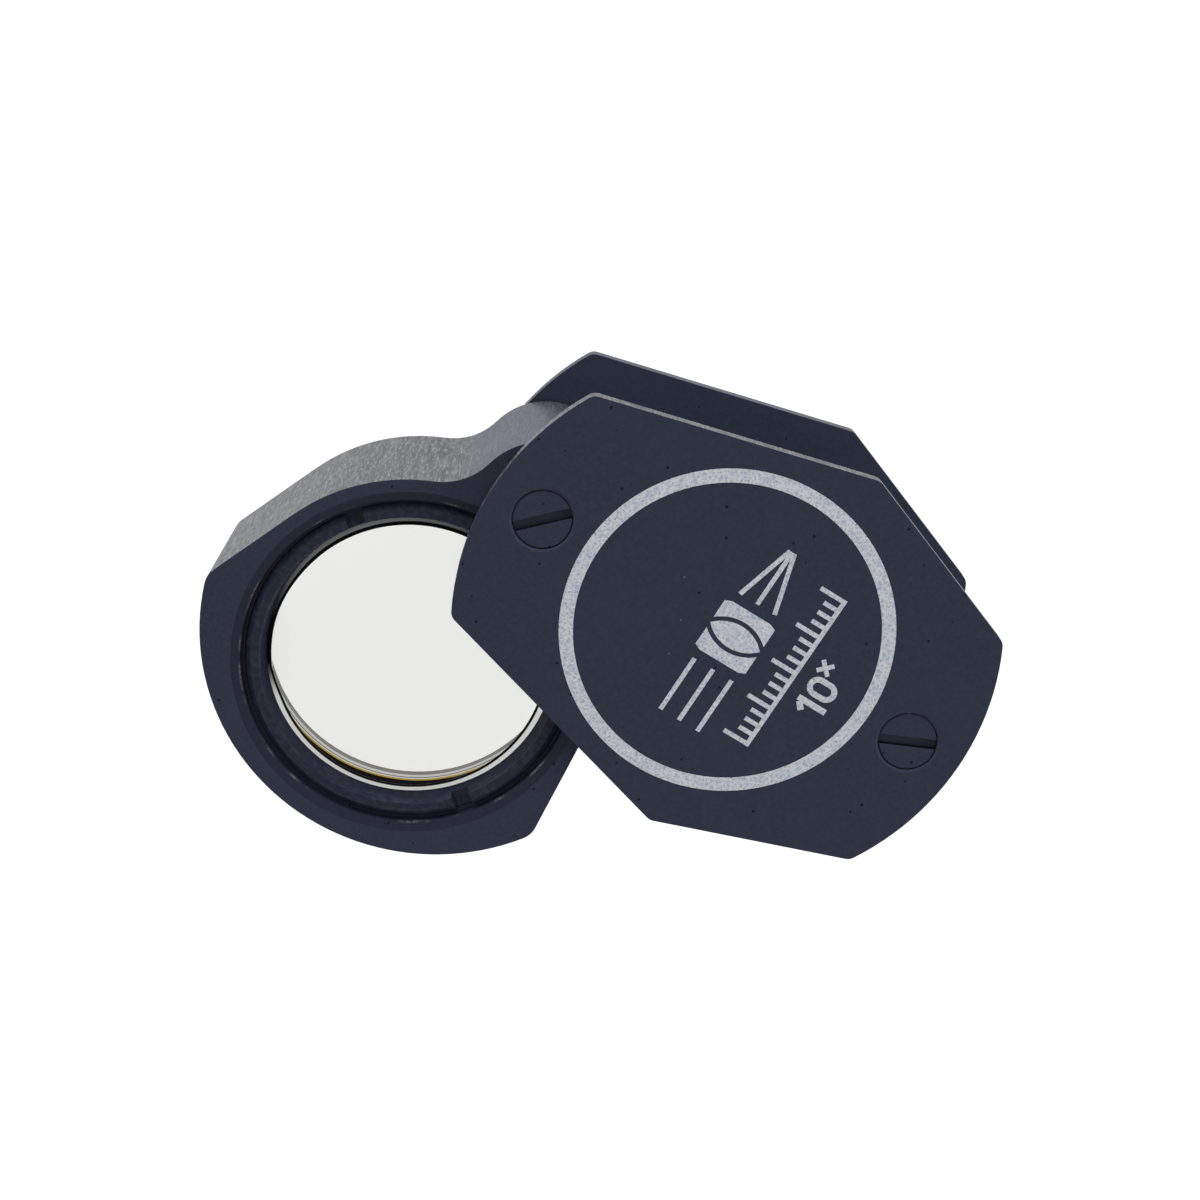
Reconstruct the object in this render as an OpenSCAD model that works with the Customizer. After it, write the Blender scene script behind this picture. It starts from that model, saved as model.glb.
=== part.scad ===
// Folding triplet loupe, closed size about 42 x 33 x 18 mm.
// Two flat cover plates are held apart by two round posts. A thick lens frame turns on the
// first post and folds away between the plates; it is drawn swung out of the case.
// Origin: centre of the case, on the outer face of the rear plate.
// +X runs from the pivot post to the stop post, +Z from the rear plate to the front plate.

/* [Case] */
// Radius of the round ends of the case
case_r = 21.3; // [20.8:0.1:22]
// Thickness of the whole case, over both plates
case_t = 18; // [17.5:0.5:20]
// Thickness of each cover plate
plate_t = 1.3; // [1.2:0.1:1.6]
// Distance from the case centre to each long straight edge
long_d = 14.8; // [14.4:0.1:15.4]
// Lean of the long edges away from the case's length, in degrees
long_lean = 15.2; // [13:0.2:17]
// Distance from the case centre to each short straight edge
short_d = 16.35; // [16:0.05:16.8]
// Lean of the short edges away from the case's length, in degrees
short_lean = 20.2; // [18:0.2:22]
// Rounding of the corners of the plates
plate_corner = 1.0; // [0.6:0.1:1.6]

/* [Posts and screws] */
// Distance from the case centre to each post
post_x = 16.8; // [16.6:0.1:17.2]
// Radius of the post that the lens frame turns on
pivot_post_r = 1.9; // [1.8:0.05:2]
// Radius of the post at the other end of the case
stop_post_r = 2.0; // [1.8:0.1:2.1]
// Radius of the screw heads
head_r = 2.3; // [2.1:0.1:2.4]
// Thickness of the screw heads
head_t = 0.75; // [0.6:0.05:0.8]
// Depth of the screw heads below the face of the plate
head_sink = 0.1; // [0.05:0.05:0.15]
// Radius of the screw shanks
shank_r = 1.0; // [0.8:0.1:1.1]
// Width of the bevel round each screw head
lip_w = 0.2; // [0.1:0.05:0.3]
// Length of the screw shanks under the head
shank_l = 4; // [3:0.5:5]
// Width of the driver slots
slot_w = 0.8; // [0.6:0.1:0.9]
// Depth of the driver slots
slot_t = 0.45; // [0.3:0.05:0.5]
// Direction of the driver slot in the front screw of the pivot post, in degrees
front_pivot_slot_a = 45.6; // [0:0.2:180]
// Direction of the driver slot in the front screw of the stop post, in degrees
front_stop_slot_a = 25.1; // [0:0.1:180]
// Direction of the driver slot in the rear screw of the pivot post, in degrees
rear_pivot_slot_a = 148; // [0:1:180]
// Direction of the driver slot in the rear screw of the stop post, in degrees
rear_stop_slot_a = 68; // [0:1:180]

/* [Pivot] */
// Angle of the lens frame about the pivot post: 0 folded in, -180 straight out
swing = -98.6; // [-180:0.1:0]
// Space between the lens frame and each plate
swing_gap = 0.3; // [0.25:0.05:0.4]
// Outer radius of the bush pressed into the lens frame
bush_r = 2.5; // [2.4:0.05:2.6]
// Radial running clearance of the bush on its post
bush_play = 0.04; // [0.02:0.01:0.06]
// Radius of the flat washers
washer_r = 3.5; // [3.2:0.1:3.6]
// Thickness of the flat washers
washer_t = 0.5; // [0.4:0.05:0.55]
// Height of the coned spring washer
spring_h = 0.6; // [0.5:0.05:0.7]
// Thickness of the coned spring washer's sheet
spring_t = 0.2; // [0.15:0.05:0.25]

/* [Lens frame] */
// Distance from the pivot to the lens axis
lens_x = 16; // [15.8:0.1:16.2]
// Outer radius of the frame round the lens
boss_r = 14.87; // [14.6:0.01:15]
// Lean of the frame's straight sides away from its length, in degrees
side_lean = 14; // [12:0.5:15]
// Distance from the pivot to the centre of the frame's far arc
far_x = 13.1; // [13:0.1:13.2]
// Radius of the frame's far arc
far_r = 18.1; // [18:0.05:18.2]
// Rounding of the two far corners of the frame
far_corner = 1.8; // [1.2:0.1:2.2]
// Radius of the frame round the pivot
neck_r = 5.7; // [5.4:0.1:6]
// Radius of the hollow curve between the pivot end and the lens end
neck_fillet = 5; // [4:0.5:6]

/* [Optics] */
// Radius of the lens elements
lens_r = 11.5; // [11.3:0.05:11.5]
// Radius of the polished face, inside the ground bevel
polish_r = 10.9; // [10.7:0.05:10.95]
// Radius of curvature of the two outer lens faces
outer_curve = 36; // [34:1:42]
// Radius of curvature of the two cemented faces
inner_curve = 18; // [17:0.5:20]
// Thickness of the cement between the elements
cement = 0.02; // [0.01:0.01:0.03]
// Height of the whole triplet at the edge of its polished faces
triplet_edge_t = 11.2; // [11:0.1:11.3]
// Thickness of the centre element at its rim
centre_edge_t = 2; // [1.6:0.1:2.4]
// Inner radius of the brass seat ring behind the lens
seat_r = 10.75; // [10.5:0.05:10.8]
// Thickness of the brass seat ring
seat_t = 0.3; // [0.2:0.05:0.35]

/* [Retaining ring] */
// Radius of the threaded bore that holds the retaining ring
ring_bore_r = 12.9; // [12.8:0.05:12.95]
// Inner radius of the retaining ring at its face
ring_mouth_r = 11.75; // [11.6:0.05:11.85]
// Inner radius of the retaining ring at the glass
ring_throat_r = 11.35; // [11.2:0.05:11.4]
// Depth of the retaining ring's face below the face of the frame
ring_sink = 0.4; // [0.3:0.05:0.5]
// Width of the two spanner notches
notch_w = 1.4; // [1.2:0.1:1.6]
// Depth of the two spanner notches
notch_t = 0.9; // [0.7:0.1:1]
// Angle of the spanner notches from the frame's length, in degrees
notch_a = 59.8; // [0:0.1:180]

/* [Printed marks] */
// Outer radius of the printed ring
print_ring_r = 13; // [12.6:0.1:13.4]
// Width of the printed ring
print_ring_w = 1.1; // [0.9:0.1:1.3]
// Height of the print above the plate
print_t = 0.02; // [0.02:0.01:0.04]
// Width of the thin printed lines
line_w = 0.36; // [0.3:0.02:0.42]
// Height of the printed figures
figure_h = 2.5; // [2.3:0.1:2.6]

/* [Hidden] */
$fn = 128;

big = 60;
over = 1;
play = 0.05;
hair = 0.01;

rear_in = plate_t;
front_in = case_t - plate_t;
frame_z0 = rear_in + swing_gap;
frame_z1 = front_in - swing_gap;
frame_t = frame_z1 - frame_z0;
mid_z = case_t / 2;

long_a = 90 + long_lean;
short_a = 90 - short_lean;
side_a = 90 + side_lean;
side_d = boss_r + hair - lens_x * sin(side_lean);
far_side_d = side_d + far_x * sin(side_lean);
tangent_x = lens_x - boss_r * sin(side_lean);

bush_z0 = rear_in + washer_t + spring_h + play;
bush_z1 = front_in - washer_t - play;
cup_r = washer_r + 0.2;

outer_z = mid_z + triplet_edge_t / 2 - sqrt(outer_curve ^ 2 - polish_r ^ 2);
inner_z = mid_z + centre_edge_t / 2 - sqrt(inner_curve ^ 2 - lens_r ^ 2);
bevel = lens_r - polish_r;
polish_z = mid_z + triplet_edge_t / 2;
throat_z = polish_z - (ring_throat_r - polish_r) + play;
lens_bore_r = lens_r + 0.1;
seat_z0 = case_t - outer_z - sqrt(outer_curve ^ 2 - seat_r ^ 2) - seat_t - play;
ring_z1 = frame_z1 - ring_sink;
ring_edge = 0.45;
recess_r = ring_bore_r + 0.3;
recess_t = 0.9;
lead_w = 0.65;
lead_t = 0.35;
ring_room = 0.4;
back_mouth_r = 12;
back_step_r = 10.95;
back_step_t = 0.6;
drill_room = 0.5;
head_bevel = 0.1;
lip_t = 0.12;
tip_side = 10;
tip_reach = 15;

function dir(a) = [cos(a), sin(a)];
function bearing(p) = atan2(p.y, p.x);
// Where two straight edges meet: each is given by its outward normal's angle and its distance
function meet(a1, d1, a2, d2) =
    [d1 * sin(a2) - d2 * sin(a1), d2 * cos(a1) - d1 * cos(a2)] / sin(a2 - a1);
// Where a straight edge crosses a circle of radius r about the origin, on one side or the other
function on_arc(a, d, r, side) = d * dir(a) + side * sqrt(r ^ 2 - d ^ 2) * dir(a + 90);

// ---------- shared shapes ----------

// Everything beyond a straight edge
module beyond(a, d) {
    rotate(a)
        translate([d, -big])
            square([big, 2 * big]);
}

// The sharp tip that a rounding of centre c replaces, between the bearings a and b
module tip(c, a, b) {
    translate(c)
        polygon([[0, 0], tip_side * dir(a), tip_reach * dir((a + b) / 2), tip_side * dir(b)]);
}

// Each corner is [centre of its rounding, first bearing, second bearing]
module with_round_corners(corners, r) {
    difference() {
        children();
        for (k = corners)
            tip(k[0], k[1], k[2]);
    }
    for (k = corners)
        translate(k[0])
            circle(r);
}

module tube(r_out, r_in, h) {
    difference() {
        cylinder(r = r_out, h = h);
        translate([0, 0, -over])
            cylinder(r = r_in, h = h + 2 * over);
    }
}

// A thing drawn about the pivot with the lens along +X, turned to where the frame stands
module swung() {
    translate([-post_x, 0, 0])
        rotate(swing)
            children();
}

// A thing drawn about the lens axis
module on_lens_axis() {
    swung()
        translate([lens_x, 0, 0])
            children();
}

// ---------- case ----------

module plate_outline() {
    r = plate_corner;
    arc_end = on_arc(long_a, long_d - r, case_r - r, 1);
    peak = meet(long_a, long_d - r, short_a, short_d - r);
    shoulder = on_arc(short_a, short_d - r, case_r - r, -1);
    upper = [[arc_end, long_a, bearing(arc_end)], [peak, long_a, short_a],
        [shoulder, short_a, bearing(shoulder)]];
    lower = [for (k = upper) [[k[0].x, -k[0].y], -k[1], -k[2]]];
    with_round_corners(concat(upper, lower), r) {
        difference() {
            circle(case_r);
            for (s = [-1, 1]) {
                beyond(s * long_a, long_d);
                beyond(s * short_a, short_d);
            }
        }
    }
}

// A cover plate with its outer face down on z = 0
module plate() {
    difference() {
        linear_extrude(plate_t)
            plate_outline();
        for (x = [-post_x, post_x])
            translate([x, 0, -over]) {
                cylinder(r = shank_r + play, h = plate_t + 2 * over);
                cylinder(r = head_r + play, h = over + head_sink + head_t);
                cylinder(r1 = head_r + play + lip_w * (1 + over / lip_t), r2 = head_r + play, h = over + lip_t);
            }
    }
}

module turned_over() {
    translate([0, 0, case_t])
        mirror([0, 0, 1])
            children();
}

module rear_plate() {
    color("#2a2d38")
        plate();
}

module front_plate() {
    color("#2e323e")
        turned_over()
            plate();
}

// A post between the plates, drilled for a screw at each end
module post(r) {
    drill = shank_l - (plate_t - head_sink - head_t) + drill_room;
    difference() {
        translate([0, 0, rear_in])
            cylinder(r = r, h = front_in - rear_in);
        translate([0, 0, rear_in - over])
            cylinder(r = shank_r + play / 2, h = drill + over);
        translate([0, 0, front_in - drill])
            cylinder(r = shank_r + play / 2, h = drill + over);
    }
}

module pivot_post() {
    color("#b9bcc2")
        translate([-post_x, 0, 0])
            post(pivot_post_r);
}

module stop_post() {
    color("#b9bcc2")
        translate([post_x, 0, 0])
            post(stop_post_r);
}

// A slotted screw with its head down, its slot at the bearing a
module screw(a) {
    difference() {
        translate([0, 0, head_sink]) {
            cylinder(r1 = head_r - head_bevel, r2 = head_r, h = head_bevel);
            translate([0, 0, head_bevel])
                cylinder(r = head_r, h = head_t - head_bevel);
            cylinder(r = shank_r, h = head_t + shank_l);
        }
        rotate(a)
            translate([-head_r - over, -slot_w / 2, -over])
                cube([2 * (head_r + over), slot_w, over + head_sink + slot_t]);
    }
}

module front_pivot_screw() {
    color("#31343f")
        turned_over()
            translate([-post_x, 0, 0])
                screw(front_pivot_slot_a);
}

module front_stop_screw() {
    color("#31343f")
        turned_over()
            translate([post_x, 0, 0])
                screw(front_stop_slot_a);
}

module rear_pivot_screw() {
    color("#31343f")
        translate([-post_x, 0, 0])
            screw(rear_pivot_slot_a);
}

module rear_stop_screw() {
    color("#31343f")
        translate([post_x, 0, 0])
            screw(rear_stop_slot_a);
}

// ---------- pivot ----------

module rear_washer() {
    color("#c3c6cb")
        translate([-post_x, 0, rear_in])
            tube(washer_r, pivot_post_r + play, washer_t);
}

module front_washer() {
    color("#c3c6cb")
        translate([-post_x, 0, front_in - washer_t])
            tube(washer_r, pivot_post_r + play, washer_t);
}

// A coned ring that presses on the frame with its rim and on the rear washer with its hole
module spring_washer() {
    r_in = pivot_post_r + play;
    r_out = washer_r - 0.1;
    color("#8f949c")
        translate([-post_x, 0, rear_in + washer_t])
            rotate_extrude()
                polygon([[r_in, 0], [r_out, spring_h - spring_t], [r_out, spring_h],
                    [r_in, spring_t]]);
}

module pivot_bush() {
    color("#b98b3e")
        swung()
            translate([0, 0, bush_z0])
                tube(bush_r, pivot_post_r + bush_play, bush_z1 - bush_z0);
}

// ---------- lens frame ----------

// The hollow-sided web between the pivot end and the lens end. Its hollow curves stay a hair
// short of touching the two discs that they run between.
module neck_outline() {
    f = neck_fillet;
    fx = (lens_x ^ 2 + (neck_r + f) ^ 2 - (boss_r + f) ^ 2) / (2 * lens_x);
    fy = sqrt((neck_r + f) ^ 2 - fx ^ 2);
    difference() {
        polygon([[0, 0], [fx, fy], [lens_x, 0], [fx, -fy]]);
        for (s = [-1, 1])
            translate([fx, s * fy])
                circle(f - hair);
    }
}

// The wide end: a far arc, two rounded corners and two sides that run onto the lens boss
module far_outline() {
    r = far_corner;
    c = on_arc(side_a, far_side_d - r, far_r - r, -1);
    corners = [for (s = [-1, 1]) [[c.x, s * c.y], s * side_a, s * bearing(c)]];
    difference() {
        translate([far_x, 0])
            with_round_corners(corners, r)
                difference() {
                    circle(far_r);
                    for (s = [-1, 1])
                        beyond(s * side_a, far_side_d);
                }
        beyond(180, -tangent_x);
    }
}

// The frame before it is bored
module frame_blank() {
    linear_extrude(frame_t)
        far_outline();
    linear_extrude(frame_t)
        neck_outline();
    cylinder(r = neck_r, h = frame_t);
    translate([lens_x, 0, 0])
        cylinder(r = boss_r, h = frame_t);
}

// Half section of everything bored out round the lens axis
module lens_bore_section() {
    top = frame_z1;
    floor_z = throat_z - ring_room;
    polygon([[0, top + over], [recess_r + lead_w + over, top + over], [recess_r + lead_w, top],
        [recess_r, top - lead_t], [recess_r, top - recess_t], [ring_bore_r, top - recess_t],
        [ring_bore_r, floor_z], [lens_bore_r, floor_z], [lens_bore_r, seat_z0],
        [back_step_r, seat_z0], [back_step_r, seat_z0 - back_step_t], [back_mouth_r, frame_z0],
        [back_mouth_r, frame_z0 - over], [0, frame_z0 - over]]);
}

module lens_frame() {
    color("#3a3d48")
        swung()
            difference() {
                translate([0, 0, frame_z0])
                    frame_blank();
                translate([lens_x, 0, 0])
                    rotate_extrude()
                        lens_bore_section();
                translate([0, 0, frame_z0 - over])
                    cylinder(r = bush_r, h = frame_t + 2 * over);
                translate([0, 0, frame_z0 - over])
                    cylinder(r = cup_r, h = over + bush_z0 - frame_z0);
                translate([0, 0, bush_z1])
                    cylinder(r = cup_r, h = frame_z1 - bush_z1 + over);
            }
}

module retaining_ring() {
    r = ring_bore_r - play;
    color("#2b2e3a")
        on_lens_axis()
            difference() {
                rotate_extrude()
                    polygon([[ring_throat_r, throat_z], [r, throat_z], [r, ring_z1 - ring_edge],
                        [r - ring_edge, ring_z1], [ring_mouth_r, ring_z1]]);
                rotate(notch_a)
                    translate([-big / 2, -notch_w / 2, ring_z1 - notch_t])
                        cube([big, notch_w, notch_t + over]);
            }
}

module seat_ring() {
    color("#c59a45")
        on_lens_axis()
            translate([0, 0, seat_z0])
                tube(lens_r, seat_r, seat_t);
}

// ---------- cemented triplet ----------

// Half section of the whole glass block, front half only, with its ground bevel
module half_glass_section() {
    intersection() {
        translate([0, outer_z])
            circle(outer_curve);
        polygon([[0, mid_z], [lens_r, mid_z], [lens_r, polish_z - bevel], [polish_r, polish_z],
            [polish_r, case_t], [0, case_t]]);
    }
}

// Half section of the front half of the centre element, grown by g
module half_core_section(g) {
    intersection() {
        translate([0, inner_z])
            circle(inner_curve + g);
        translate([0, mid_z])
            square([lens_r, mid_z]);
    }
}

module outer_element() {
    rotate_extrude()
        difference() {
            half_glass_section();
            half_core_section(cement);
            translate([0, mid_z - over])
                square([lens_r + over, over + centre_edge_t / 2 + cement]);
        }
}

module front_lens() {
    color("#dfe9ea", 0.6)
        on_lens_axis()
            outer_element();
}

module centre_lens() {
    color("#e6eef0", 0.6)
        on_lens_axis()
            rotate_extrude() {
                half_core_section(0);
                translate([0, case_t])
                    mirror([0, 1])
                        half_core_section(0);
            }
}

module rear_lens() {
    color("#dfe9ea", 0.6)
        on_lens_axis()
            turned_over()
                outer_element();
}

// ---------- printed marks ----------

module printed_ring() {
    color("#c3c8d4")
        translate([0, 0, case_t])
            tube(print_ring_r, print_ring_r - print_ring_w, print_t);
}

// A straight printed line from a to b
module stroke(a, b, w) {
    translate(a)
        rotate(bearing(b - a))
            translate([0, -w / 2])
                square([norm(b - a), w]);
}

// Section through a three-element lens with the light that passes through it
module ray_emblem() {
    h = 2.3;
    reach = 8;
    start = 3.1;
    lens_edge = 2.3;
    core_r = 3.1;
    core_x = 2.1;
    skin_r = 5.2;
    skin_x = 2.6;
    near = 0.93;
    far = 0.12;
    intersection() {
        translate([-core_x, 0])
            circle(core_r);
        translate([core_x, 0])
            circle(core_r);
    }
    for (s = [-1, 1])
        difference() {
            intersection() {
                translate([-s * (skin_r - skin_x), 0])
                    circle(skin_r);
                translate([s * lens_edge / 2, 0])
                    square([lens_edge, 2 * h], center = true);
            }
            translate([-s * core_x, 0])
                circle(core_r + line_w);
        }
    for (y = [-1.7, 0, 1.7]) {
        stroke([-reach, y], [-start, y], line_w);
        stroke([start, y * near], [reach, y * far], line_w);
    }
}

// A graduated measuring line
module scale_mark() {
    step = 0.85;
    half_count = 8;
    base_y = -1.15;
    long_tick = 2.35;
    short_tick = 1.5;
    translate([-step * half_count - line_w / 2, base_y])
        square([2 * step * half_count + line_w, line_w]);
    for (k = [-half_count:half_count])
        translate([k * step - line_w / 2, base_y])
            square([line_w, k % 4 == 0 ? long_tick : short_tick]);
}

module figure_one() {
    w = 0.5;
    flag = [-0.55, -0.5];
    translate([-w, 0])
        square([w, figure_h]);
    stroke([-w, figure_h - w / 2], [-w, figure_h - w / 2] + flag, w);
}

module figure_nought() {
    half_w = 0.85;
    w = 0.46;
    difference() {
        rounded_bar(half_w, figure_h);
        translate([0, w])
            rounded_bar(half_w - w, figure_h - 2 * w);
    }
}

// An upright bar with round ends, standing on y = 0
module rounded_bar(r, h) {
    translate([0, r])
        circle(r);
    translate([0, h - r])
        circle(r);
    translate([-r, r])
        square([2 * r, h - 2 * r]);
}

module times_sign() {
    half = 0.5;
    stroke([-half, -half], [half, half], line_w);
    stroke([-half, half], [half, -half], line_w);
}

// All marks read along +Y, with their tops towards the pivot
module printed_mark() {
    color("#c3c8d4")
        translate([0, 0, case_t])
            rotate(90)
                linear_extrude(print_t) {
                    translate([0, -0.7])
                        ray_emblem();
                    translate([0, -5.3])
                        scale_mark();
                    translate([-1.2, -10])
                        figure_one();
                    translate([0, -10])
                        figure_nought();
                    translate([1.6, -8])
                        times_sign();
                }
}

front_plate();
rear_plate();
printed_ring();
printed_mark();
pivot_post();
stop_post();
front_pivot_screw();
front_stop_screw();
rear_pivot_screw();
rear_stop_screw();
front_washer();
rear_washer();
spring_washer();
lens_frame();
pivot_bush();
retaining_ring();
front_lens();
centre_lens();
rear_lens();
seat_ring();
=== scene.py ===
"""Looks of the folding triplet loupe: enamel, bare metal, silver print, brass, steel and glass."""
import math

import bmesh
import bpy
from mathutils import Matrix, Vector


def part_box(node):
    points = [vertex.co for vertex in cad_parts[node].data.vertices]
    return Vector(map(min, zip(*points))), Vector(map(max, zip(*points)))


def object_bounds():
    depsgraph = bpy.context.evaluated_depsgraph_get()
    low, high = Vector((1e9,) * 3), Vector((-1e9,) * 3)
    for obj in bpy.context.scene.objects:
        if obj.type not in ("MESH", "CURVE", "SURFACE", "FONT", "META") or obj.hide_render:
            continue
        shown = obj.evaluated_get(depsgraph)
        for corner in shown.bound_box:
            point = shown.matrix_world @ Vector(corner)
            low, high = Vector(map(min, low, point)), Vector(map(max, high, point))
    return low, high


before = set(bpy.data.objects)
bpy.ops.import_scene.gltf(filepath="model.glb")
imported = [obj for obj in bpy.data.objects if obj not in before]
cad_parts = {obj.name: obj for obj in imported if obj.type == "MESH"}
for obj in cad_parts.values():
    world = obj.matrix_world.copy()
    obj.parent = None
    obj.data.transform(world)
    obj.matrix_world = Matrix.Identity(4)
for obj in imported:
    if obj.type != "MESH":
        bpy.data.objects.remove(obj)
cad_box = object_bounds()
MM = 0.001

# Places worked out from the frame
ring_low, ring_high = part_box("retaining_ring")
LENS_AXIS = (ring_low + ring_high) / 2
CASE_MIDDLE = (cad_box[0].z + cad_box[1].z) / 2
FRAME_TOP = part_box("lens_frame")[1].z
CORE_LOW, CORE_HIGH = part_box("centre_lens")
PIVOT = (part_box("pivot_post")[0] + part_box("pivot_post")[1]) / 2

# Glass: curve of the cemented faces, radius of the polished faces, and where the rim starts
CORE_CURVE = 18 * MM
CEMENT_GAP = 0.08 * MM
CEMENT_RADIUS = 11.4 * MM
POLISH_RADIUS = 10.9 * MM
RIM_START = (11.42 * MM, 11.46 * MM)
# Side of the lenses where the front bevel is left clear and painted pale: painted light standing for light
# seen through the bevel there
PAINTED_LIGHT_SIDE = (0.534, -0.846, 0.0)

# Frame: where its faces end at the lead-in of the bore, and where its outer wall starts
LEAD_IN_END = (13.86 * MM, 13.92 * MM)
OUTER_WALL = (14.1 * MM, 14.3 * MM)
# Height above the case's middle that parts a screw slot's floor from the screw's face
SLOT_FLOOR = (8.50 * MM, 8.60 * MM)

# Multiplies a place to lay it flat on the case's plane
FLATTEN = (1.0, 1.0, 0.0)
# Multiplies a place to draw a grain out along the loupe's thickness
DRAW_OUT = (1.0, 1.0, 0.12)
# Specular level of enamel and anodising
PAINT_SHINE = 0.2


# ---------- colours ----------

INK = (0.0285, 0.0330, 0.0570)
INK_PALE = (0.0310, 0.0360, 0.0615)
INK_GRAIN = (0.0350, 0.0400, 0.0675)
# Near-black ink: pits in the enamel, and painted shade on screw walls and in the frame's bore
INK_PITS_AND_PAINTED_SHADE = (0.0040, 0.0055, 0.0130)
# Lighter ink: painted light on the floor of the screw slots
INK_PAINTED_SLOT_LIGHT = (0.0400, 0.0450, 0.0700)
DUST = (0.13, 0.13, 0.14)
BARE_DARK = (0.066, 0.068, 0.077)
BARE_LIGHT = (0.172, 0.175, 0.190)
BARE_FLECK = (0.350, 0.354, 0.370)
RING_DARK = (0.0180, 0.0215, 0.0370)
RING_LIGHT = (0.0320, 0.0370, 0.0600)
SILVER_INK = (0.42, 0.45, 0.51)
SILVER_FLAKE = (0.72, 0.74, 0.79)
SILVER_BLUE = (0.42, 0.49, 0.62)
SILVER_SEAM = (0.80, 0.81, 0.82)
SILVER_HOLE = (0.10, 0.11, 0.14)
GLASS_CLEAR = (0.914, 0.920, 0.906)
GLASS_DUST = (0.35, 0.35, 0.33)
LINE_REAR = (0.30, 0.30, 0.29)
LINE_FRONT = (0.014, 0.014, 0.016)
PALE_LOW = (0.78, 0.78, 0.76)
PALE_HIGH = (0.92, 0.92, 0.89)
BEVEL_SCRATCH = (0.20, 0.20, 0.19)
# Brass colour painted on the rear bevel: a painted view of the seat
BEVEL_PAINTED_SEAT_VIEW = (0.62, 0.45, 0.07)
BEVEL_BLACK = (0.020, 0.020, 0.022)
# Pale line on the front bevel: painted light
BEVEL_PAINTED_LIGHT_LINE = (0.95, 0.95, 0.95)
# Pale front bevel on the painted-light side
BEVEL_PAINTED_LIGHT_SIDE = (0.90, 0.90, 0.88)
RIM_BLACK = (0.008, 0.008, 0.009)
FLOOR_LOW = (0.46, 0.46, 0.46)
FLOOR_HIGH = (0.50, 0.50, 0.50)
FLOOR_GLOW = (1.0, 1.0, 0.985)

# Turned metals: dark and light colour
STEEL = ((0.42, 0.43, 0.45), (0.62, 0.63, 0.65))
SPRING_STEEL = ((0.22, 0.22, 0.24), (0.35, 0.35, 0.37))
BUSH_BRASS = ((0.50, 0.36, 0.14), (0.72, 0.54, 0.24))
SEAT_BRASS = ((0.55, 0.42, 0.16), (0.78, 0.62, 0.30))


# ---------- node helpers ----------

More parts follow.
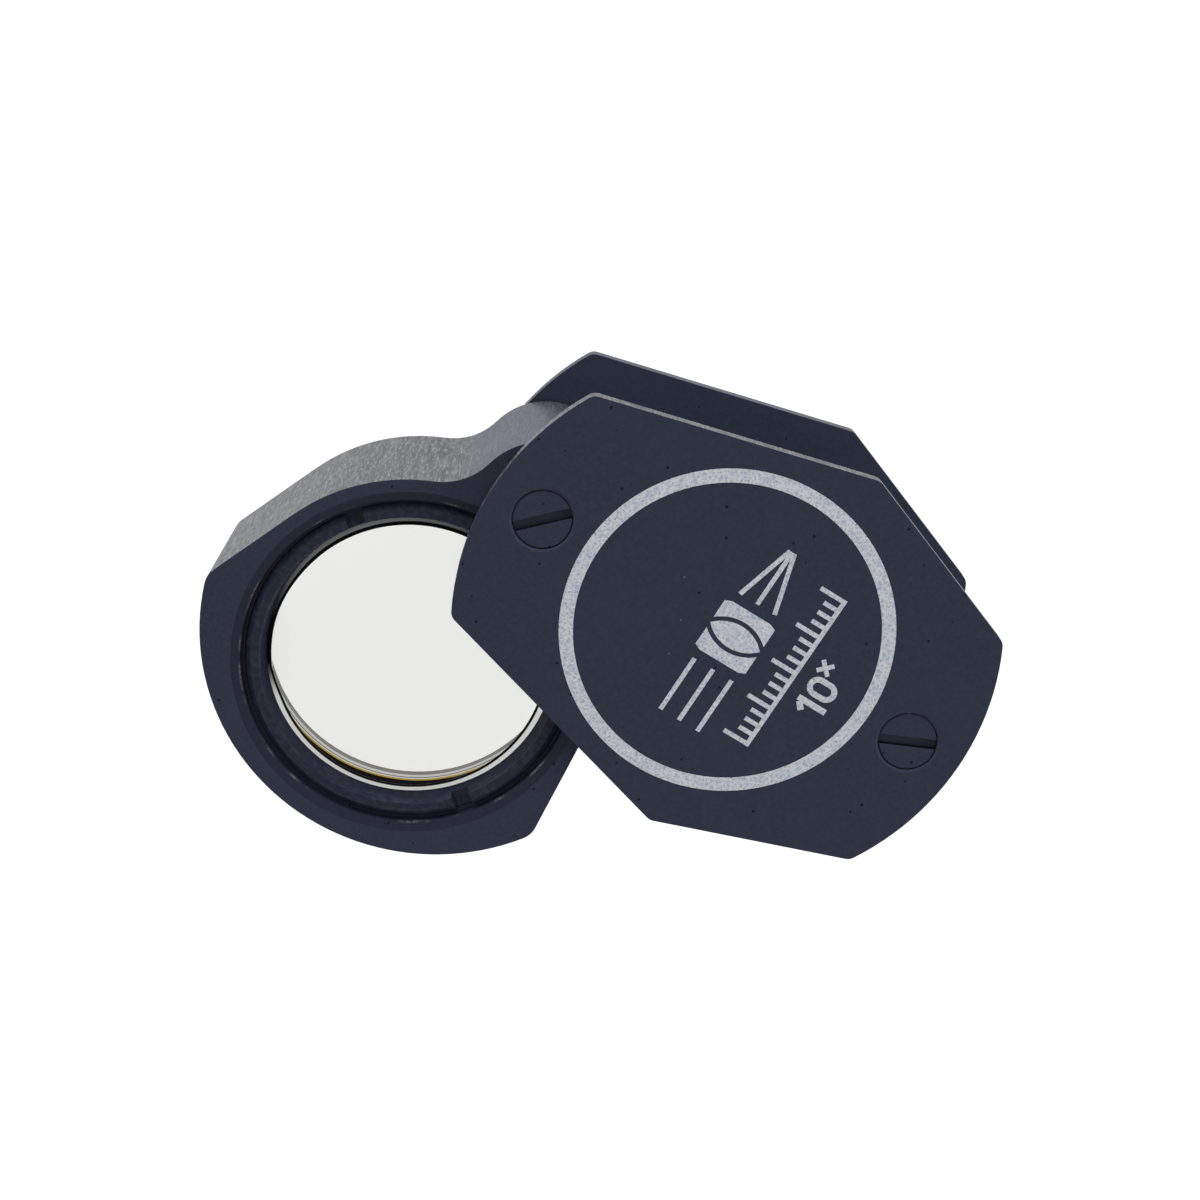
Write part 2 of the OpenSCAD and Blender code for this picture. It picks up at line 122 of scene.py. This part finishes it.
class Shader:
    """A node material under construction: every method adds a node and returns its output socket."""

    def __init__(self, name):
        self.material = bpy.data.materials.new(name)
        self.material.use_nodes = True
        self.tree = self.material.node_tree
        self.tree.nodes.clear()
        self.surface = self.tree.nodes.new("ShaderNodeBsdfPrincipled")
        output = self.tree.nodes.new("ShaderNodeOutputMaterial")
        self.tree.links.new(self.surface.outputs[0], output.inputs["Surface"])
        self.coords = self.tree.nodes.new("ShaderNodeTexCoord")
        self.place = self.coords.outputs["Object"]

    def put(self, socket, value):
        """Links a socket or sets a plain value."""
        if isinstance(value, bpy.types.NodeSocket):
            self.tree.links.new(value, socket)
        elif isinstance(value, (tuple, list)) and len(value) == 3 and len(socket.default_value) == 4:
            socket.default_value = (*value, 1.0)
        else:
            socket.default_value = value

    def principled(self, **values):
        """Sets inputs of the surface shader, their names written with underscores."""
        for name, value in values.items():
            self.put(self.surface.inputs[name.replace("_", " ")], value)

    def node(self, kind, **settings):
        made = self.tree.nodes.new("ShaderNode" + kind)
        for name, value in settings.items():
            setattr(made, name, value)
        return made

    def math(self, operation, a, b=0.0):
        made = self.node("Math", operation=operation)
        self.put(made.inputs[0], a)
        self.put(made.inputs[1], b)
        return made.outputs[0]

    def times(self, first, *factors):
        """Product of two or more numbers."""
        for factor in factors:
            first = self.math("MULTIPLY", first, factor)
        return first

    def plus(self, a, b):
        return self.math("ADD", a, b)

    def minus(self, a, b):
        return self.math("SUBTRACT", a, b)

    def vector(self, operation, a, b=(0.0, 0.0, 0.0)):
        made = self.node("VectorMath", operation=operation)
        self.put(made.inputs[0], a)
        self.put(made.inputs[1], b)
        return made.outputs["Value" if operation in ("LENGTH", "DOT_PRODUCT") else "Vector"]

    def split(self, vector):
        made = self.node("SeparateXYZ")
        self.put(made.inputs[0], vector)
        return made.outputs

    def ramp(self, value, low, high, to_low=0.0, to_high=1.0):
        """Smoothly maps low..high onto to_low..to_high."""
        made = self.node("MapRange", interpolation_type="SMOOTHSTEP")
        for socket, number in zip(made.inputs, (value, low, high, to_low, to_high)):
            self.put(socket, number)
        return made.outputs[0]

    def band(self, value, rise_start, rise_end, fall_start, fall_end):
        """1 between rise_end and fall_start, smoothly down to 0 on both sides."""
        rise = self.ramp(value, rise_start, rise_end)
        fall = self.ramp(value, fall_start, fall_end, 1.0, 0.0)
        return self.times(rise, fall)

    def noise(self, size, detail=2.0, roughness=0.5, place=None):
        """Fractal noise whose blotches are about size metres across."""
        made = self.node("TexNoise")
        self.put(made.inputs["Vector"], place or self.place)
        self.put(made.inputs["Scale"], 1.0 / size)
        self.put(made.inputs["Detail"], detail)
        self.put(made.inputs["Roughness"], roughness)
        return made.outputs["Fac"]

    def cells(self, size, feature="F1"):
        """Distance to the nearest of scattered points about size metres apart, in cell widths."""
        made = self.node("TexVoronoi", feature=feature)
        self.put(made.inputs["Vector"], self.place)
        self.put(made.inputs["Scale"], 1.0 / size)
        return made.outputs["Distance"]

    def specks(self, spacing, core, end):
        """1 on small round specks about spacing metres apart, 0 between them; sizes in cell widths."""
        return self.ramp(self.cells(spacing), core, end, 1.0, 0.0)

    def mix(self, share, a, b, kind="RGBA"):
        """Colour a where share is 0 and b where it is 1."""
        made = self.node("Mix", data_type=kind)
        self.put(made.inputs["Factor"], share)
        self.put(made.inputs["A"], a)
        self.put(made.inputs["B"], b)
        return made.outputs["Result"]

    def blend(self, share, a, b):
        """Number a where share is 0 and b where it is 1."""
        return self.mix(share, a, b, "FLOAT")

    def bump(self, height, depth, normal=None):
        """Surface relief: height 0..1 stands for depth metres."""
        made = self.node("Bump")
        self.put(made.inputs["Height"], height)
        self.put(made.inputs["Distance"], depth)
        if normal is not None:
            self.put(made.inputs["Normal"], normal)
        return made.outputs[0]

    def wallness(self):
        """1 on upright walls, 0 on level faces."""
        height = self.split(self.coords.outputs["Normal"])[2]
        return self.ramp(self.math("ABSOLUTE", height), 0.35, 0.65, 1.0, 0.0)

    def outward(self, centre):
        """Flat vector from an upright axis through centre."""
        flat = self.vector("MULTIPLY", self.place, FLATTEN)
        return self.vector("SUBTRACT", flat, (centre.x, centre.y, 0.0))

    def radius(self, centre):
        """Distance from an upright axis through centre."""
        return self.vector("LENGTH", self.outward(centre))

    def height(self):
        return self.split(self.place)[2]


# ---------- materials ----------

def enamel_layers(s):
    """Colour, roughness and relief of black enamel with orange peel, pits and a few specks of dust."""
    cloud = s.noise(6 * MM, 4.0)
    fine = s.noise(0.35 * MM, 2.0)
    pits = s.specks(1.6 * MM, 0.045, 0.10)
    dust = s.specks(3.7 * MM, 0.012, 0.028)
    colour = s.mix(s.ramp(cloud, 0.35, 0.7), INK, INK_PALE)
    colour = s.mix(s.ramp(fine, 0.35, 0.75), colour, INK_GRAIN)
    colour = s.mix(pits, colour, INK_PITS_AND_PAINTED_SHADE)
    colour = s.mix(dust, colour, DUST)
    rough = s.plus(s.times(cloud, 0.14), 0.40)
    peel = s.plus(s.times(fine, 0.6), s.times(s.noise(1.1 * MM, 1.0), 0.8))
    relief = s.minus(peel, s.times(pits, 1.6))
    return colour, rough, relief


def bare_layers(s):
    """Colour, roughness and relief of bare metal, its grain drawn out along the loupe's thickness."""
    drawn = s.vector("MULTIPLY", s.place, DRAW_OUT)
    mottle = s.noise(0.26 * MM, 3.0, 0.6, place=drawn)
    grit = s.noise(0.13 * MM, 2.0, 0.6, place=drawn)
    share = s.plus(s.times(mottle, 0.55), s.times(grit, 0.45))
    colour = s.mix(s.ramp(share, 0.38, 0.62), BARE_DARK, BARE_LIGHT)
    colour = s.mix(s.times(s.ramp(grit, 0.58, 0.70), 0.7), colour, BARE_FLECK)
    rough = s.plus(s.times(grit, 0.25), 0.38)
    return colour, rough, share


def two_skins(s, share, skin, core, relief_depth, core_depth):
    """Shader that shows the skin where share is 0 and the core where it is 1."""
    colour = s.mix(share, skin[0], core[0])
    rough = s.blend(share, skin[1], core[1])
    normal = s.bump(skin[2], s.blend(share, relief_depth, 0.0))
    normal = s.bump(core[2], s.blend(share, 0.0, core_depth), normal)
    s.principled(Base_Color=colour, Roughness=rough, Normal=normal, Metallic=s.times(share, 0.75))
    s.principled(Specular_IOR_Level=PAINT_SHINE)


def enamelled_plate(name, wear):
    """Black enamel on the faces; the cut edge shows more or less worn metal."""
    s = Shader(name)
    patch = s.noise(2.5 * MM, 3.0)
    worn = s.times(s.wallness(), s.ramp(patch, 0.30, 0.52), wear)
    two_skins(s, worn, enamel_layers(s), bare_layers(s), 0.012 * MM, 0.015 * MM)
    return s.material


def enamelled_screw():
    """Black enamel, with painted shade on every upright wall of the screw, the slot's walls included, and
    painted light on the slot's floor.
    """
    s = Shader("black_enamel_screw")
    colour, rough, relief = enamel_layers(s)
    above = s.math("ABSOLUTE", s.minus(s.height(), CASE_MIDDLE))
    # Painted light: the slot's floor gets a lighter ink, lifting the shade it gets as a recess
    colour = s.mix(s.ramp(above, *SLOT_FLOOR, 0.8, 0.0), colour, INK_PAINTED_SLOT_LIGHT)
    # Painted shade: every upright wall of the screw is painted near black
    colour = s.mix(s.wallness(), colour, INK_PITS_AND_PAINTED_SHADE)
    s.principled(Base_Color=colour, Roughness=rough, Normal=s.bump(relief, 0.010 * MM))
    s.principled(Specular_IOR_Level=PAINT_SHINE)
    return s.material


def frame_metal():
    """Black enamel on the faces and in the lens bore, bare metal round the outside, with painted shade in
    the bore and on the side near the pivot.
    """
    s = Shader("lens_frame_metal")
    radius = s.radius(LENS_AXIS)
    # The inner edge of the bore's lead-in is worn bright in places; the lead-in itself is darkened as
    # painted shade further down
    edge = s.band(radius, 13.12 * MM, 13.18 * MM, 13.28 * MM, 13.36 * MM)
    edge = s.times(edge, s.ramp(s.height(), FRAME_TOP - 0.62 * MM, FRAME_TOP - 0.5 * MM))
    scuffs = s.ramp(s.noise(2.2 * MM, 4.0), 0.46, 0.64)
    lip = s.times(edge, scuffs, 0.95)
    # Painted shade: near the pivot, where the frame goes in between the plates, the side is left mostly
    # black enamel instead of bare metal
    ragged = s.plus(s.radius(PIVOT), s.times(s.noise(1.2 * MM, 3.0), 1.5 * MM))
    clear_of_pivot_shade = s.ramp(ragged, 6.3 * MM, 8.3 * MM)
    wall = s.times(s.wallness(), s.ramp(radius, *OUTER_WALL))
    bare = s.times(wall, s.plus(s.times(clear_of_pivot_shade, 0.75), 0.25))
    bare = s.math("MAXIMUM", bare, lip)
    colour, rough, relief = enamel_layers(s)
    # Painted shade: the bore's lead-in and everything inside it are darkened towards near black
    painted_bore_shade = s.times(s.ramp(radius, *LEAD_IN_END, 1.0, 0.0), 0.55)
    skin = (s.mix(painted_bore_shade, colour, INK_PITS_AND_PAINTED_SHADE), rough, relief)
    two_skins(s, bare, skin, bare_layers(s), 0.012 * MM, 0.03 * MM)
    return s.material


def turned_black():
    """Black anodised metal with fine turning lines round the lens axis."""
    s = Shader("black_anodised_ring")
    lines = s.math("SINE", s.times(s.radius(LENS_AXIS), 2 * math.pi / (0.09 * MM)))
    speck = s.noise(0.5 * MM, 3.0)
    colour = s.mix(s.ramp(speck, 0.40, 0.72), RING_DARK, RING_LIGHT)
    rough = s.plus(s.times(speck, 0.2), 0.34)
    s.principled(Base_Color=colour, Roughness=rough, Normal=s.bump(lines, 0.0012 * MM))
    s.principled(Specular_IOR_Level=PAINT_SHINE)
    return s.material


def silver_print():
    """Screen-printed silver: bright flakes in a grey ink, pale seams and a few pinholes."""
    s = Shader("silver_print")
    flake = s.noise(0.22 * MM, 3.0, 0.7)
    tint = s.noise(0.9 * MM, 2.0)
    colour = s.mix(s.ramp(flake, 0.36, 0.60), SILVER_INK, SILVER_FLAKE)
    colour = s.mix(s.times(s.ramp(tint, 0.42, 0.60), 0.45), colour, SILVER_BLUE)
    seams = s.ramp(s.cells(0.42 * MM, "DISTANCE_TO_EDGE"), 0.02, 0.12, 0.6, 0.0)
    colour = s.mix(seams, colour, SILVER_SEAM)
    holes = s.specks(0.55 * MM, 0.06, 0.12)
    colour = s.mix(s.times(holes, 0.7), colour, SILVER_HOLE)
    s.principled(Base_Color=colour, Roughness=s.blend(flake, 0.62, 0.42), Metallic=0.15)
    s.principled(Normal=s.bump(flake, 0.006 * MM), Specular_IOR_Level=0.4)
    return s.material


def turned_metal(name, colours, axis_node, rough_low, rough_high):
    """Turned metal: fine rings round its own axis and a soft brushed variation."""
    s = Shader(name)
    low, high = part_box(axis_node)
    turning = s.node("CombineXYZ")
    s.put(turning.inputs[0], s.radius((low + high) / 2))
    s.put(turning.inputs[1], s.height())
    streak = s.node("TexNoise", noise_dimensions="2D")
    s.put(streak.inputs["Vector"], turning.outputs[0])
    s.put(streak.inputs["Scale"], 1.0 / (0.08 * MM))
    s.put(streak.inputs["Detail"], 3.0)
    cloud = s.noise(1.5 * MM, 3.0)
    s.principled(Base_Color=s.mix(cloud, *colours), Metallic=1.0)
    s.principled(Roughness=s.blend(streak.outputs[0], rough_low, rough_high))
    s.principled(Normal=s.bump(streak.outputs[0], 0.002 * MM))
    return s.material


def cemented_faces(s, radius):
    """1 on the two cemented faces inside the glass, 0 elsewhere."""
    found = 0.0
    for centre_z in (CORE_HIGH.z - CORE_CURVE, CORE_LOW.z + CORE_CURVE):
        spoke = s.vector("LENGTH", s.vector("SUBTRACT", s.place, (LENS_AXIS.x, LENS_AXIS.y, centre_z)))
        gap = s.math("ABSOLUTE", s.minus(spoke, CORE_CURVE))
        found = s.math("MAXIMUM", found, s.math("LESS_THAN", gap, CEMENT_GAP))
    return s.times(found, s.math("LESS_THAN", radius, CEMENT_RADIUS))


def lens_glass():
    """Optical glass: polished and cemented faces, ground bevels, blacked rims; painted light on the bevels
    and a painted glow on the ground faces behind the front bevel.
    """
    s = Shader("lens_glass")
    radius = s.radius(LENS_AXIS)
    depth = s.minus(s.height(), (CORE_HIGH.z + CORE_LOW.z) / 2)
    front = s.ramp(depth, 2.0 * MM, 2.2 * MM)
    side = s.vector("DOT_PRODUCT", s.vector("NORMALIZE", s.outward(LENS_AXIS)), PAINTED_LIGHT_SIDE)
    # Painted light: 1 where the front bevel is left clear and pale
    painted_lit_side = s.times(s.ramp(side, 0.02, 0.35), front)
    far_side = s.ramp(side, -0.25, -0.75)
    # The blacking starts further in on the painted-light side and further out between the two sides
    shift = s.blend(painted_lit_side, s.times(s.blend(far_side, -0.16 * MM, 0.0), front), 0.14 * MM)
    reach = s.plus(radius, shift)
    ground = s.ramp(reach, POLISH_RADIUS - 0.12 * MM, POLISH_RADIUS - 0.09 * MM)
    bevel = s.ramp(reach, POLISH_RADIUS + 0.09 * MM, POLISH_RADIUS + 0.13 * MM)
    rim = s.ramp(radius, *RIM_START)

    # Rear bevel: pale, with a scratch, and near the rim a painted brass band standing for the seat seen
    # through the glass
    line = s.mix(front, LINE_REAR, LINE_FRONT)
    pale = s.mix(s.noise(0.4 * MM, 2.0), PALE_LOW, PALE_HIGH)
    scratch = s.band(radius, 11.15 * MM, 11.18 * MM, 11.22 * MM, 11.25 * MM)
    slope = s.mix(scratch, pale, BEVEL_SCRATCH)
    slope = s.mix(s.ramp(radius, 11.30 * MM, 11.34 * MM), slope, BEVEL_PAINTED_SEAT_VIEW)
    # Front bevel: blacked, with painted light on it, clear and pale on one side and a pale line on the
    # other; then the rim
    # Painted light: a pale line on the far side of the front bevel, lifting the shade the ring casts there
    painted_lit_line = s.times(far_side, s.ramp(radius, 11.02 * MM, 11.10 * MM))
    black_bevel = s.mix(painted_lit_line, BEVEL_BLACK, BEVEL_PAINTED_LIGHT_LINE)
    slope = s.mix(front, slope, s.mix(painted_lit_side, black_bevel, BEVEL_PAINTED_LIGHT_SIDE))
    blacked = s.mix(s.ramp(depth, 1.6 * MM, 1.9 * MM), RIM_BLACK, pale)
    frosted = s.mix(rim, s.mix(bevel, line, slope), blacked)

    clear_bevel = s.times(bevel, painted_lit_side, s.minus(1.0, rim))
    clear = s.plus(s.minus(1.0, ground), s.times(clear_bevel, 0.8))
    # Painted glow: the ground bevels and rims behind the front bevel give off light of their own colour,
    # standing for light carried through the glass
    glow = s.times(ground, s.minus(1.0, front))
    polished = s.mix(s.specks(4.1 * MM, 0.012, 0.024), GLASS_CLEAR, GLASS_DUST)
    s.principled(Base_Color=s.mix(ground, polished, frosted), IOR=1.62)
    s.principled(Transmission_Weight=clear, Roughness=s.blend(ground, 0.0, 0.3))
    s.principled(Specular_IOR_Level=s.times(clear, 0.5))
    s.principled(Alpha=s.minus(1.0, cemented_faces(s, radius)))
    s.principled(Emission_Color=frosted, Emission_Strength=s.times(glow, 0.55))
    return s.material


# ---------- pieces ----------

def dress(material, *nodes):
    """Gives CAD nodes a material."""
    for name in nodes:
        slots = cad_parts[name].data.materials
        slots.clear()
        slots.append(material)


def soften_edges(width, *nodes):
    """Breaks the sharp edges of CAD nodes, as enamel and tumbling do."""
    for name in nodes:
        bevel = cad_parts[name].modifiers.new("edge_break", "BEVEL")
        bevel.width = width
        bevel.segments = 2
        bevel.limit_method = "ANGLE"
        bevel.angle_limit = math.radians(40)
        bevel.harden_normals = True


def make_looks():
    dress(enamelled_plate("black_enamel_front", 0.8), "front_plate")
    dress(enamelled_plate("black_enamel_rear", 0.03), "rear_plate")
    dress(enamelled_screw(), "front_pivot_screw", "front_stop_screw", "rear_pivot_screw", "rear_stop_screw")
    dress(frame_metal(), "lens_frame")
    dress(turned_black(), "retaining_ring")
    dress(silver_print(), "printed_ring", "printed_mark")
    # Material, colours, roughness range and nodes, the first of which gives the turning axis
    for name, colours, rough_low, rough_high, *nodes in (
            ("post_steel_pivot", STEEL, 0.22, 0.42, "pivot_post"),
            ("post_steel_stop", STEEL, 0.22, 0.42, "stop_post"),
            ("washer_steel", STEEL, 0.3, 0.5, "front_washer", "rear_washer"),
            ("spring_steel", SPRING_STEEL, 0.3, 0.5, "spring_washer"),
            ("bush_brass", BUSH_BRASS, 0.25, 0.45, "pivot_bush"),
            ("seat_brass", SEAT_BRASS, 0.25, 0.45, "seat_ring")):
        dress(turned_metal(name, colours, nodes[0], rough_low, rough_high), *nodes)
    dress(lens_glass(), "front_lens", "centre_lens", "rear_lens")


# ---------- stage ----------

FLOOR_RADIUS = 6.0
FLOOR_GAP = 0.02 * MM
FLOOR_STRENGTH = 0.88


def make_floor():
    """A plain pale floor, evenly lit from within so that it stays white."""
    s = Shader("pale_floor")
    grain = s.noise(30 * MM, 3.0)
    s.principled(Base_Color=s.mix(grain, FLOOR_LOW, FLOOR_HIGH), Roughness=0.9)
    s.principled(Specular_IOR_Level=0.1, Emission_Color=FLOOR_GLOW, Emission_Strength=FLOOR_STRENGTH)
    mesh = bpy.data.meshes.new("floor")
    shape = bmesh.new()
    bmesh.ops.create_circle(shape, cap_ends=True, radius=FLOOR_RADIUS, segments=96)
    shape.to_mesh(mesh)
    shape.free()
    mesh.materials.append(s.material)
    floor = bpy.data.objects.new("floor", mesh)
    floor.location.z = cad_box[0].z - FLOOR_GAP
    bpy.context.scene.collection.objects.link(floor)


# Heights of the direction between which the studio dims, and its strength below and above them
SKY_FADE = (0.1, 0.95, 0.95, 0.42)


def make_world():
    """A studio that is bright round the horizon and dimmer overhead."""
    world = bpy.data.worlds.new("studio")
    world.use_nodes = True
    bpy.context.scene.world = world
    tree = world.node_tree
    tree.nodes.clear()
    coords = tree.nodes.new("ShaderNodeTexCoord")
    parts = tree.nodes.new("ShaderNodeSeparateXYZ")
    fade = tree.nodes.new("ShaderNodeMapRange")
    back = tree.nodes.new("ShaderNodeBackground")
    out = tree.nodes.new("ShaderNodeOutputWorld")
    fade.interpolation_type = "SMOOTHSTEP"
    for socket, number in zip(fade.inputs[1:5], SKY_FADE):
        socket.default_value = number
    tree.links.new(coords.outputs["Generated"], parts.inputs[0])
    tree.links.new(parts.outputs[2], fade.inputs[0])
    tree.links.new(fade.outputs[0], back.inputs["Strength"])
    tree.links.new(back.outputs[0], out.inputs["Surface"])


LAMP_AIM = (-0.01, -0.005, 0.009)
LAMP_SIZE = 0.45


def make_light(name, place, power):
    """A round lamp aimed at the loupe, not seen in reflections or through the glass."""
    lamp = bpy.data.lights.new(name, "AREA")
    lamp.shape = "DISK"
    lamp.size = LAMP_SIZE
    lamp.energy = power
    holder = bpy.data.objects.new(name, lamp)
    holder.location = place
    holder.visible_glossy = False
    holder.visible_transmission = False
    holder.rotation_euler = (Vector(LAMP_AIM) - Vector(place)).to_track_quat("-Z", "Y").to_euler()
    bpy.context.scene.collection.objects.link(holder)


# Camera: nearly overhead, seen from the pivot side, the picture's top towards the camera's own side
CAMERA_PLACE = Vector((-37.68, 38.68, 179.45)) * MM
CAMERA_AHEAD = Vector((0.1305, -0.1912, -0.9728)).normalized()
PICTURE_UP = Vector((-0.5192, 0.8227, -0.2314))
CAMERA_SENSOR = 36.0
CAMERA_LENS = 66.04
CAMERA_SHIFT_Y = -0.125


def make_camera():
    data = bpy.data.cameras.new("camera")
    data.sensor_width = CAMERA_SENSOR
    data.lens = CAMERA_LENS
    data.shift_y = CAMERA_SHIFT_Y
    data.clip_start = 0.01
    data.clip_end = 20.0
    right = CAMERA_AHEAD.cross(PICTURE_UP).normalized()
    up = right.cross(CAMERA_AHEAD)
    turn = Matrix((right, up, -CAMERA_AHEAD)).transposed().to_4x4()
    camera = bpy.data.objects.new("camera", data)
    camera.matrix_world = Matrix.Translation(CAMERA_PLACE) @ turn
    bpy.context.scene.collection.objects.link(camera)
    bpy.context.scene.camera = camera


make_camera()
make_looks()
soften_edges(0.08 * MM, "front_plate", "rear_plate", "lens_frame")
soften_edges(0.04 * MM, "retaining_ring", "front_pivot_screw", "front_stop_screw")
make_floor()
make_world()
make_light("key", (-0.60, 0.49, 0.20), 5.0)
make_light("fill", (0.62, 0.31, 0.20), 2.6)
bpy.context.scene.view_settings.view_transform = "Standard"
